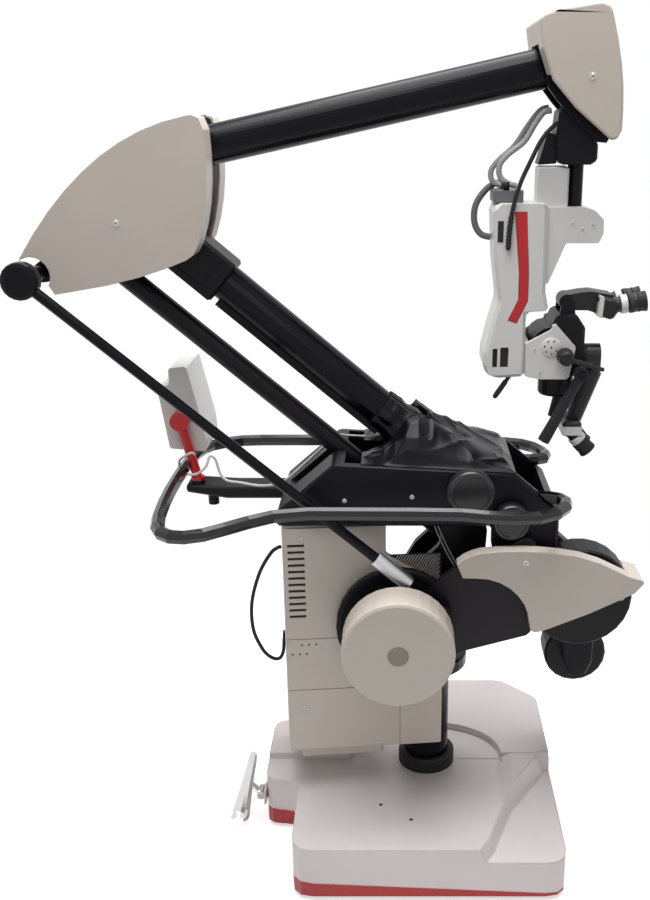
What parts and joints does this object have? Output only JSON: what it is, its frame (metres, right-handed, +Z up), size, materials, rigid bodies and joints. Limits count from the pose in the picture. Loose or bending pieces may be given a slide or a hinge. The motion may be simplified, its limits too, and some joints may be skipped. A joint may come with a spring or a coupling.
{
  "type": "surgical microscope",
  "caption": "Floor-stand surgical microscope: castored base, swivelling cabinet, counterweighted parallelogram arm, tilting binocular head, handle rail and small display.",
  "frame": {"origin": "centre of the bounding box in plan, on the floor under the castors", "axes": "+Z up, +X along the upper arm towards the optics head, +Y away from the side that carries the balance weights' covers"},
  "size_m": [1.3519, 0.7326, 1.9186],
  "materials": {
    "ballast_iron": "cast, black paint",
    "base_shell": "moulded, satin",
    "skirt": "moulded, satin",
    "grey_metal": "satin paint",
    "gloss_black_steel": "gloss paint",
    "black_casting": "cast, satin black paint",
    "black_tube": "gloss black paint",
    "rubber": "moulded",
    "vinyl": "gathered black vinyl",
    "chrome": "polished",
    "ivory_shell": "moulded, satin",
    "ivory_weight": "satin paint",
    "black_weight": "satin black paint",
    "black_steel": "satin black paint",
    "white_housing": "satin",
    "red_trim": "satin",
    "red_steel": "satin paint",
    "bright_aluminium": "machined",
    "black_plastic": "moulded",
    "cable_sheath": "extruded",
    "lens_glass": "coated"
  },
  "bodies": {
    "base": {"ballast_frame": "ballast_iron", "base_cover": "base_shell", "base_skirt": "skirt", "pedal_bracket": "grey_metal", "column_post": "gloss_black_steel", "column_collar": "rubber"},
    "castor_front_left": {"castor_fork_front_left": "grey_metal"},
    "wheel_front_left": {"castor_wheel_front_left": "rubber"},
    "castor_front_right": {"castor_fork_front_right": "grey_metal"},
    "wheel_front_right": {"castor_wheel_front_right": "rubber"},
    "castor_rear_left": {"castor_fork_rear_left": "grey_metal"},
    "wheel_rear_left": {"castor_wheel_rear_left": "rubber"},
    "castor_rear_right": {"castor_fork_rear_right": "grey_metal"},
    "wheel_rear_right": {"castor_wheel_rear_right": "rubber"},
    "pedal": {"brake_pedal": "chrome"},
    "chassis": {"column_head": "black_casting", "chassis_beam": "black_casting", "boom_boot": "vinyl", "handle_rail": "black_tube", "cabinet_shell": "ivory_shell", "cabinet_panel": "ivory_shell", "side_cable": "rubber", "monitor_arm": "black_casting"},
    "knob_1": {"balance_knob_1": "black_plastic"},
    "knob_2": {"balance_knob_2": "black_plastic"},
    "monitor_yoke": {"monitor_yoke": "red_steel"},
    "monitor": {"monitor_case": "ivory_shell"},
    "boom": {"boom_root": "black_casting", "boom_tube": "black_tube", "boom_knuckle": "black_casting", "boom_weight_large": "black_weight", "boom_weight_small": "black_weight", "wing_cover": "ivory_shell"},
    "link": {"parallel_link": "black_tube"},
    "lever": {"balance_lever": "black_steel", "counterweight_drum": "black_steel", "counterweight_cap": "ivory_weight"},
    "elbow": {"elbow_bracket": "bright_aluminium"},
    "arm": {"arm_tube": "black_tube", "arm_end": "black_casting", "elbow_spine": "black_casting", "elbow_cover_near": "ivory_shell", "elbow_cover_far": "ivory_shell", "head_cover_near": "ivory_shell", "head_cover_far": "ivory_shell"},
    "rod_eye": {"rod_eye": "bright_aluminium"},
    "rod": {"control_rod": "black_steel"},
    "head": {"head_block": "black_casting"},
    "carrier": {"carrier_arm": "white_housing", "carrier_strip": "red_trim", "head_cables": "cable_sheath"},
    "fork": {"tilt_fork": "white_housing"},
    "knob_3": {"tilt_knob": "black_plastic"},
    "scope": {"microscope_body": "black_casting", "objective_ring": "black_casting", "objective_lens": "lens_glass"},
    "bino": {"binocular_main": "black_plastic"},
    "assist": {"binocular_assist": "black_plastic"},
    "grip_near": {"hand_grip_near": "rubber"},
    "grip_far": {"hand_grip_far": "rubber"}
  },
  "joints": [
    {"name": "castor_swivel_front_left", "type": "hinge", "parent": "base", "child": "castor_front_left", "pos_m": [-0.0296, -0.2617, 0.065], "axis": [0, 0, 1], "continuous": true},
    {"name": "castor_roll_front_left", "type": "hinge", "parent": "castor_front_left", "child": "wheel_front_left", "pos_m": [-0.0476, -0.2617, 0.0245], "axis": [0, 1, 0], "continuous": true},
    {"name": "castor_swivel_front_right", "type": "hinge", "parent": "base", "child": "castor_front_right", "pos_m": [0.4304, -0.2617, 0.065], "axis": [0, 0, 1], "continuous": true},
    {"name": "castor_roll_front_right", "type": "hinge", "parent": "castor_front_right", "child": "wheel_front_right", "pos_m": [0.4124, -0.2617, 0.0245], "axis": [0, 1, 0], "continuous": true},
    {"name": "castor_swivel_rear_left", "type": "hinge", "parent": "base", "child": "castor_rear_left", "pos_m": [-0.0296, 0.2773, 0.065], "axis": [0, 0, 1], "continuous": true},
    {"name": "castor_roll_rear_left", "type": "hinge", "parent": "castor_rear_left", "child": "wheel_rear_left", "pos_m": [-0.0476, 0.2773, 0.0245], "axis": [0, 1, 0], "continuous": true},
    {"name": "castor_swivel_rear_right", "type": "hinge", "parent": "base", "child": "castor_rear_right", "pos_m": [0.4304, 0.2773, 0.065], "axis": [0, 0, 1], "continuous": true},
    {"name": "castor_roll_rear_right", "type": "hinge", "parent": "castor_rear_right", "child": "wheel_rear_right", "pos_m": [0.4124, 0.2773, 0.0245], "axis": [0, 1, 0], "continuous": true},
    {"name": "brake_pedal_tilt", "type": "hinge", "parent": "base", "child": "pedal", "pos_m": [-0.2176, -0.0547, 0.085], "axis": [0, 1, 0], "range_deg": [-10, 10]},
    {"name": "column_swivel", "type": "hinge", "parent": "base", "child": "chassis", "pos_m": [0.2004, 0.0103, 0.467], "axis": [0, 0, 1], "range_deg": [-175, 175]},
    {"name": "balance_knob_1_turn", "type": "hinge", "parent": "chassis", "child": "knob_1", "pos_m": [0.2884, -0.1447, 0.924], "axis": [0, 1, 0], "continuous": true},
    {"name": "balance_knob_2_turn", "type": "hinge", "parent": "chassis", "child": "knob_2", "pos_m": [0.3794, -0.1447, 0.856], "axis": [0, 1, 0], "continuous": true},
    {"name": "monitor_swivel", "type": "hinge", "parent": "chassis", "child": "monitor_yoke", "pos_m": [-0.3506, 0.0663, 0.897], "axis": [0, 0, 1], "range_deg": [-30, 30]},
    {"name": "monitor_tilt", "type": "hinge", "parent": "monitor_yoke", "child": "monitor", "pos_m": [-0.3846, 0.0663, 1.024], "axis": [0, 1, 0], "range_deg": [-25, 25]},
    {"name": "boom_lift", "type": "hinge", "parent": "chassis", "child": "boom", "pos_m": [0.4134, 0.0103, 0.7935], "axis": [0, 1, 0], "range_deg": [-4, 18], "deforming": ["boom_boot"]},
    {"name": "parallel_link_swing", "type": "hinge", "parent": "chassis", "child": "link", "pos_m": [0.2897, 0.0103, 0.7256], "axis": [0, 1, 0], "range_deg": [-4, 18]},
    {"name": "balance_lever_swing", "type": "hinge", "parent": "chassis", "child": "lever", "pos_m": [0.4134, 0.0103, 0.7935], "axis": [0, 1, 0], "range_deg": [-20, 5]},
    {"name": "elbow_level", "type": "hinge", "parent": "boom", "child": "elbow", "pos_m": [-0.45194, 0.0103, 1.53257], "axis": [0, 1, 0], "range_deg": [-18, 4]},
    {"name": "arm_lift", "type": "hinge", "parent": "elbow", "child": "arm", "pos_m": [-0.45194, 0.0103, 1.53257], "axis": [0, 1, 0], "range_deg": [-20, 5]},
    {"name": "rod_eye_level", "type": "hinge", "parent": "arm", "child": "rod_eye", "pos_m": [-0.63694, -0.1717, 1.38957], "axis": [0, 1, 0], "range_deg": [-5, 20]},
    {"name": "control_rod_swing", "type": "hinge", "parent": "rod_eye", "child": "rod", "pos_m": [-0.63694, -0.1717, 1.38957], "axis": [0, 1, 0], "range_deg": [-4, 18]},
    {"name": "head_level", "type": "hinge", "parent": "arm", "child": "head", "pos_m": [0.50801, 0.0103, 1.74187], "axis": [0, 1, 0], "range_deg": [-5, 20]},
    {"name": "head_swivel", "type": "hinge", "parent": "head", "child": "carrier", "pos_m": [0.50801, 0.0103, 1.537], "axis": [0, 0, 1], "range_deg": [-100, 100]},
    {"name": "lateral_tilt", "type": "hinge", "parent": "carrier", "child": "fork", "pos_m": [0.3804, 0.0103, 1.192], "axis": [1, 0, 0], "range_deg": [-15, 15]},
    {"name": "tilt_knob_turn", "type": "hinge", "parent": "fork", "child": "knob_3", "pos_m": [0.4924, -0.0797, 1.211], "axis": [0, 1, 0], "range_deg": [-60, 60]},
    {"name": "scope_tilt", "type": "hinge", "parent": "fork", "child": "scope", "pos_m": [0.4624, 0.0103, 1.229], "axis": [0, 1, 0], "range_deg": [-15, 15]},
    {"name": "binocular_tilt", "type": "hinge", "parent": "scope", "child": "bino", "pos_m": [0.5004, 0.0103, 1.319], "axis": [0, 1, 0], "range_deg": [-20, 12]},
    {"name": "assist_turn", "type": "hinge", "parent": "scope", "child": "assist", "pos_m": [0.5554, -0.0197, 1.202], "axis": [1, 0, 0], "range_deg": [-8, 8]},
    {"name": "hand_grip_near_turn", "type": "hinge", "parent": "scope", "child": "grip_near", "pos_m": [0.5284, -0.0767, 1.172], "axis": [0, 1, 0], "range_deg": [-3, 20]},
    {"name": "hand_grip_far_turn", "type": "hinge", "parent": "scope", "child": "grip_far", "pos_m": [0.5284, 0.0973, 1.172], "axis": [0, 1, 0], "range_deg": [-3, 20]}
  ],
  "couplings": [
    {"joint": "parallel_link_swing", "follows": "boom_lift", "ratio": 1},
    {"joint": "elbow_level", "follows": "boom_lift", "ratio": -1},
    {"joint": "control_rod_swing", "follows": "boom_lift", "ratio": 1},
    {"joint": "balance_lever_swing", "follows": "arm_lift", "ratio": 1},
    {"joint": "rod_eye_level", "follows": "arm_lift", "ratio": -1},
    {"joint": "head_level", "follows": "arm_lift", "ratio": -1}
  ]
}
